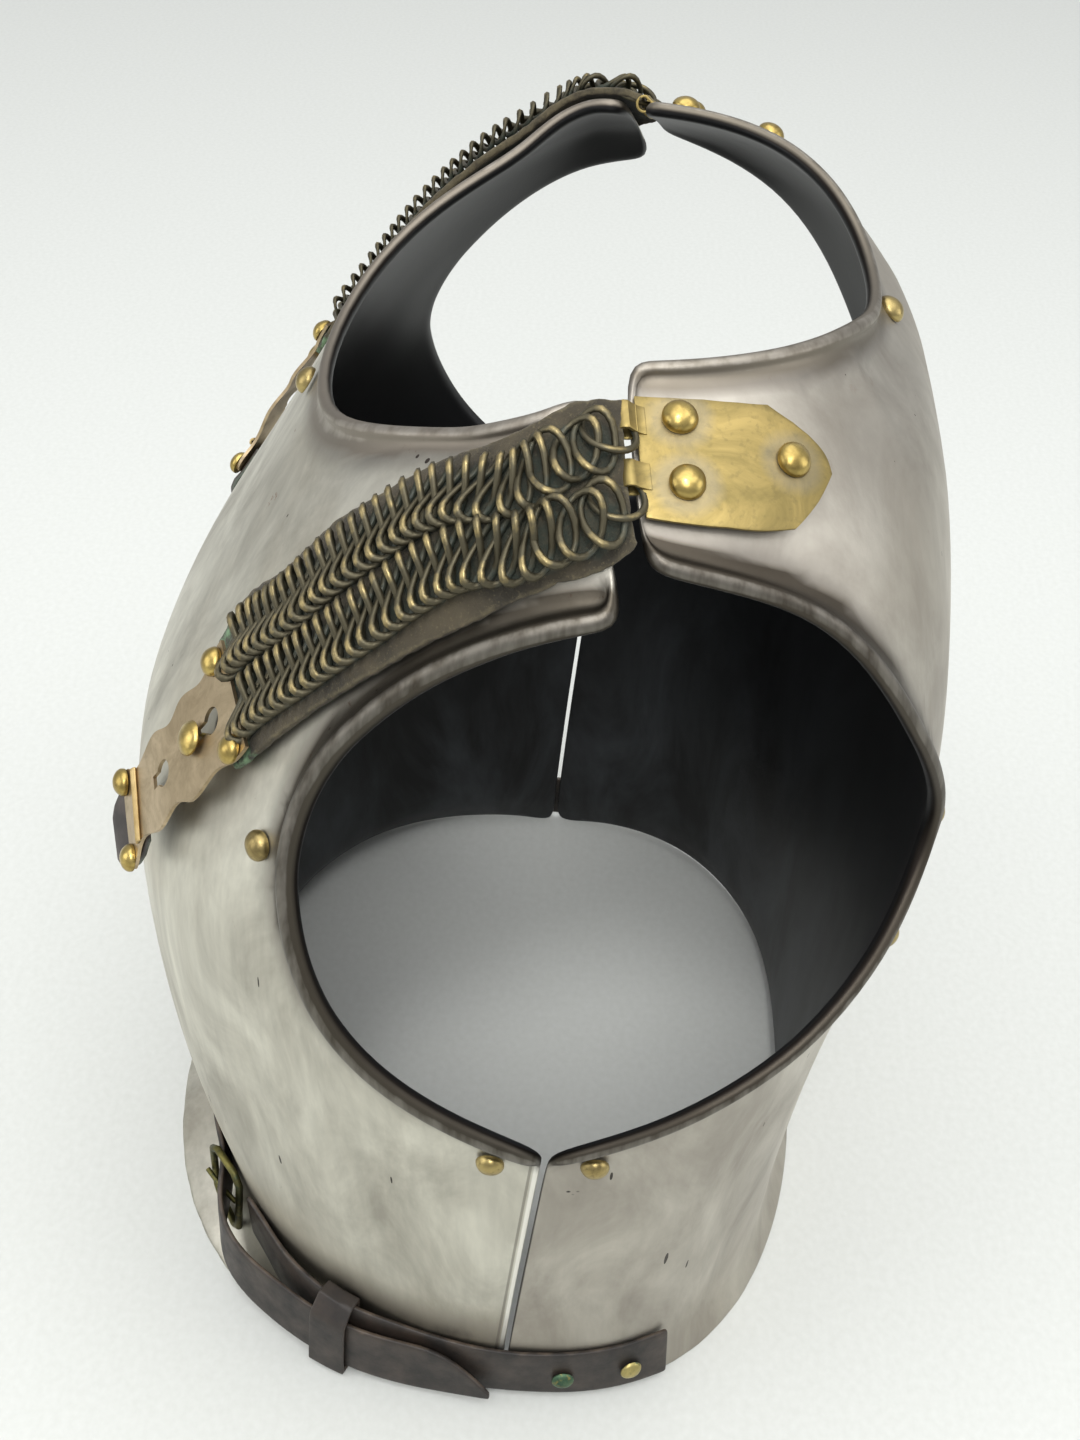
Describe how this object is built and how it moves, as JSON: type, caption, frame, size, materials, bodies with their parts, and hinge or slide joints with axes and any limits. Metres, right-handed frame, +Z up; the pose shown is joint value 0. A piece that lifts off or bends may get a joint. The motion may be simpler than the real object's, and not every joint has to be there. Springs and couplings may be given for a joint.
{
  "type": "cavalry cuirass",
  "caption": "Steel breastplate and backplate standing on their waist flanges, joined by brass-chained leather shoulder straps with keyhole plates and a buckled leather waist belt.",
  "frame": {"origin": "on the floor, under the middle of the whole armour's bounding box", "axes": "+Z up, -Y the way the wearer faces, +X the wearer's left"},
  "size_m": [0.374, 0.301, 0.4295],
  "materials": {
    "steel": "burnished, satin, lightly pitted, dark worn edges",
    "brass": "aged, worn bright on the rivets",
    "suede": "rough, dark, worn",
    "belt_leather": "smooth, dark brown"
  },
  "bodies": {
    "root": {"backplate": "steel", "belt_keeper": "belt_leather", "belt_rivet_1_left": "brass", "belt_rivet_1_right": "brass", "belt_rivet_2_left": "brass", "belt_rivet_2_right": "brass", "breast_stud_left": "brass", "breast_stud_right": "brass", "breastplate": "steel", "buckle_prong": "brass", "chain_arm_left": "brass", "chain_arm_right": "brass", "chain_neck_left": "brass", "chain_neck_right": "brass", "hook_plate_left": "brass", "hook_plate_right": "brass", "hook_rivet_strap_arm_left": "brass", "hook_rivet_strap_arm_right": "brass", "hook_rivet_strap_neck_left": "brass", "hook_rivet_strap_neck_right": "brass", "hook_rivet_tip_arm_left": "brass", "hook_rivet_tip_arm_right": "brass", "hook_rivet_tip_neck_left": "brass", "hook_rivet_tip_neck_right": "brass", "lining_stud_back_arm_high_left": "brass", "lining_stud_back_arm_high_right": "brass", "lining_stud_back_arm_low_left": "brass", "lining_stud_back_arm_low_right": "brass", "lining_stud_back_neck": "brass", "lining_stud_back_side_left": "brass", "lining_stud_back_side_right": "brass", "lining_stud_breast_arm_left": "brass", "lining_stud_breast_arm_right": "brass", "lining_stud_breast_neck": "brass", "lining_stud_breast_side_left": "brass", "lining_stud_breast_side_right": "brass", "pull_tab_left": "belt_leather", "pull_tab_right": "belt_leather", "strap_leather_left": "suede", "strap_leather_right": "suede", "tongue_plate_left": "brass", "tongue_plate_right": "brass", "tongue_rivet_1_left": "brass", "tongue_rivet_1_right": "brass", "tongue_rivet_2_left": "brass", "tongue_rivet_2_right": "brass", "tongue_rivet_3_left": "brass", "tongue_rivet_3_right": "brass", "waist_buckle": "brass", "waist_strap_left": "belt_leather", "waist_strap_right": "belt_leather"}
  },
  "joints": []
}
